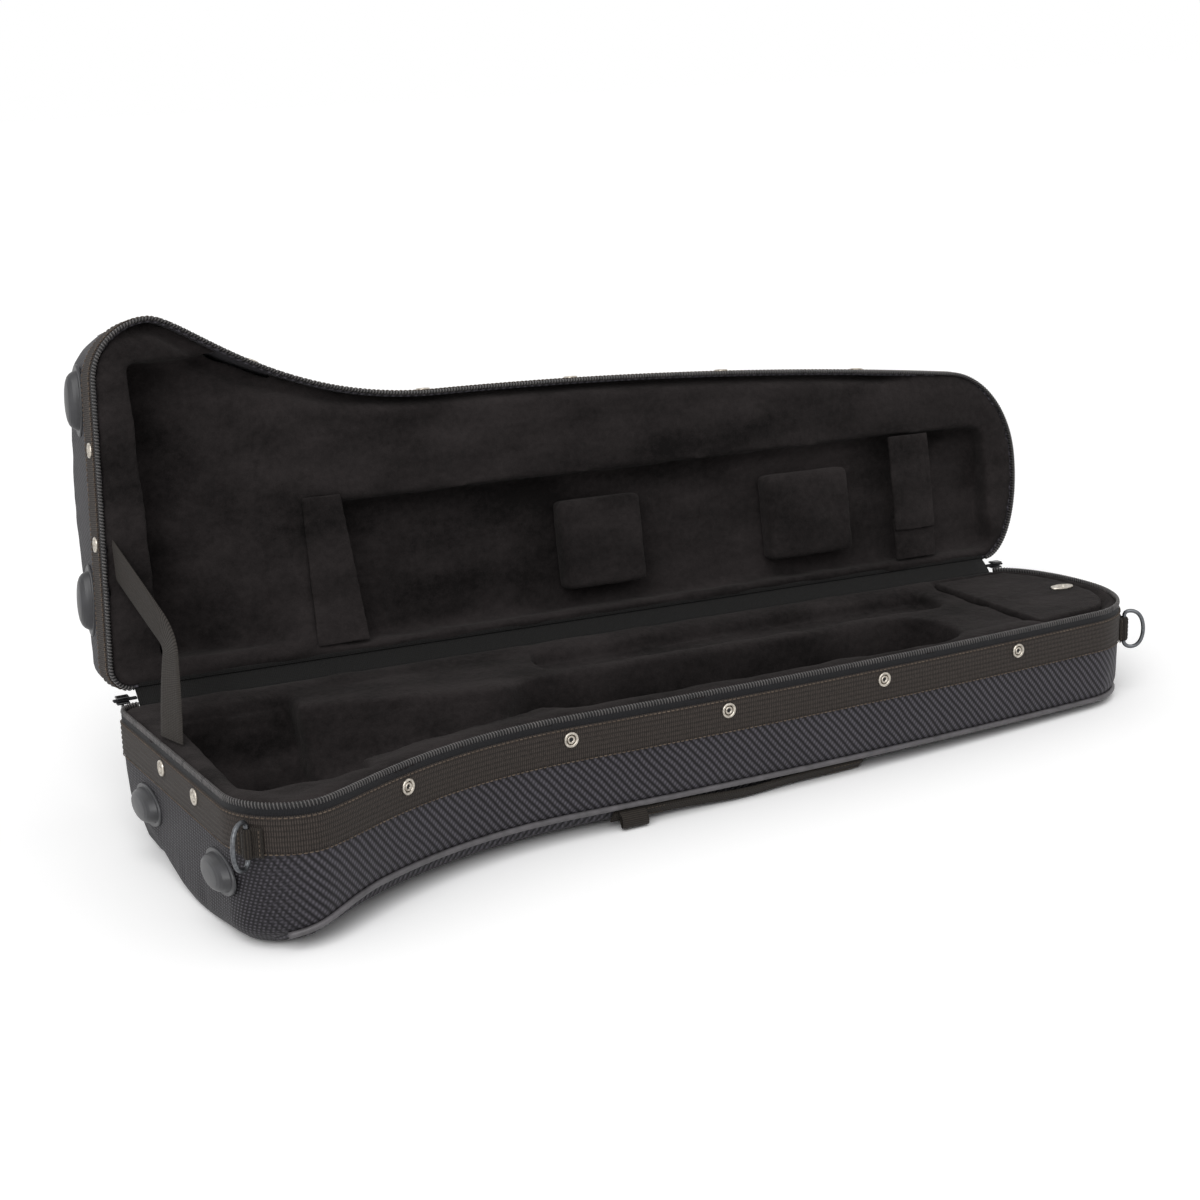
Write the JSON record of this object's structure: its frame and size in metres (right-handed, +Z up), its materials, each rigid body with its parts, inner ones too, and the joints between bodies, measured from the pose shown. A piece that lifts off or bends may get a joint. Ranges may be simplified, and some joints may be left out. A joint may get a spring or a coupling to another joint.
{
  "type": "trombone case",
  "caption": "Zip-up shaped carrying case for a tenor trombone, open on its base, with plush recesses, hinged lid, accessory compartment and carry handles.",
  "frame": {"origin": "middle of the open case's box, on the floor it stands on", "axes": "+X along the case from the bell end to the narrow end, +Y from the zip side towards the hinge, +Z up"},
  "size_m": [0.9674, 0.4812, 0.4284],
  "materials": {
    "woven_shell_fabric": "matte twill",
    "plush_lining": "plush pile",
    "vinyl_piping": "satin",
    "polypropylene_webbing": "ribbed weave",
    "plush_strap": "plush pile",
    "zip_tape": "woven tape",
    "nylon_zip_coil": "semi-gloss",
    "rubber_foot": "matte",
    "nickel_plate": "bright nickel",
    "gunmetal_plate": "dark satin"
  },
  "bodies": {
    "base": {"base_shell": "woven_shell_fabric", "base_piping": "vinyl_piping", "base_zip_coil": "nylon_zip_coil", "base_zip_tape": "zip_tape", "base_webbing_band": "polypropylene_webbing", "base_front_rivet_1": "nickel_plate", "base_front_rivet_2": "nickel_plate", "base_front_rivet_3": "nickel_plate", "base_front_rivet_4": "nickel_plate", "base_front_rivet_5": "nickel_plate", "base_end_rivet_1": "nickel_plate", "base_end_rivet_2": "nickel_plate", "base_end_foot_1": "rubber_foot", "base_end_foot_2": "rubber_foot", "base_handle_anchor_1": "polypropylene_webbing", "base_handle_anchor_2": "polypropylene_webbing", "base_lining": "plush_lining", "underside_foot_front": "rubber_foot", "underside_foot_spine": "rubber_foot", "bell_end_ring_tab": "polypropylene_webbing", "narrow_end_ring_tab": "polypropylene_webbing", "narrow_end_grab_handle": "polypropylene_webbing", "spine_hinge_fabric": "woven_shell_fabric", "stay_strap": "polypropylene_webbing", "zip_tail_bell_end": "zip_tape", "zip_slider_bell_end": "gunmetal_plate", "zip_tail_narrow_end": "zip_tape", "zip_slider_narrow_end": "gunmetal_plate"},
    "lid": {"lid_shell": "woven_shell_fabric", "lid_piping": "vinyl_piping", "lid_zip_coil": "nylon_zip_coil", "lid_zip_tape": "zip_tape", "lid_webbing_band": "polypropylene_webbing", "lid_front_rivet_1": "nickel_plate", "lid_front_rivet_2": "nickel_plate", "lid_front_rivet_3": "nickel_plate", "lid_front_rivet_4": "nickel_plate", "lid_front_rivet_5": "nickel_plate", "lid_end_rivet_1": "nickel_plate", "lid_end_rivet_2": "nickel_plate", "lid_end_foot_1": "rubber_foot", "lid_end_foot_2": "rubber_foot", "lid_handle_anchor_1": "polypropylene_webbing", "lid_handle_anchor_2": "polypropylene_webbing", "lid_lining": "plush_lining", "slide_pocket_flap": "plush_lining", "slide_block_1": "plush_lining", "slide_block_2": "plush_lining", "slide_strap_lower": "plush_strap"},
    "compartment_cover": {"compartment_lid": "plush_lining", "compartment_pull_plate": "nickel_plate"},
    "bell_ring": {"bell_end_d_ring": "gunmetal_plate"},
    "narrow_ring": {"narrow_end_d_ring": "gunmetal_plate"},
    "base_handle": {"base_carry_handle": "polypropylene_webbing"},
    "lid_handle": {"lid_carry_handle": "polypropylene_webbing"},
    "slide_strap": {"slide_strap_upper": "plush_strap"},
    "pull_bell": {"zip_pull_bell_end": "gunmetal_plate"},
    "pull_narrow": {"zip_pull_narrow_end": "gunmetal_plate"}
  },
  "joints": [
    {"name": "lid_hinge", "type": "hinge", "parent": "base", "child": "lid", "pos_m": [-0.47438, 0.07572, 0.11946], "axis": [-0.9997, 0, 0.0245], "range_deg": [-99.57, 0], "deforming": ["spine_hinge_fabric", "stay_strap"]},
    {"name": "compartment_hinge", "type": "hinge", "parent": "base", "child": "compartment_cover", "pos_m": [0.33531, 0.06771, 0.09715], "axis": [0, -1, 0], "range_deg": [0, 110]},
    {"name": "bell_ring_swing", "type": "hinge", "parent": "base", "child": "bell_ring", "pos_m": [-0.45142, -0.22319, 0.08789], "axis": [0.0245, 0, 0.9997], "range_deg": [-70, 70]},
    {"name": "narrow_ring_swing", "type": "hinge", "parent": "base", "child": "narrow_ring", "pos_m": [0.44967, -0.09854, 0.06585], "axis": [0.0245, 0, 0.9997], "range_deg": [-70, 70]},
    {"name": "base_handle_swing", "type": "hinge", "parent": "base", "child": "base_handle", "pos_m": [0.00004, -0.1473, 0.01521], "axis": [-0.9991, -0.0355, 0.0252], "range_deg": [0, 120]},
    {"name": "lid_handle_swing", "type": "hinge", "parent": "lid", "child": "lid_handle", "pos_m": [0.00731, 0.2059, 0.31212], "axis": [0.9982, -0.0051, -0.0596], "range_deg": [0, 120]},
    {"name": "slide_strap_swing", "type": "hinge", "parent": "lid", "child": "slide_strap", "pos_m": [0.34135, 0.10062, 0.24005], "axis": [-0.9997, 0, 0.0245], "range_deg": [0, 120]},
    {"name": "bell_pull_swing", "type": "hinge", "parent": "base", "child": "pull_bell", "pos_m": [-0.46799, 0.07572, 0.11511], "axis": [0, 1, 0], "range_deg": [-80, 80]},
    {"name": "narrow_pull_swing", "type": "hinge", "parent": "base", "child": "pull_narrow", "pos_m": [0.42974, 0.07572, 0.09314], "axis": [0, 1, 0], "range_deg": [-80, 80]}
  ]
}
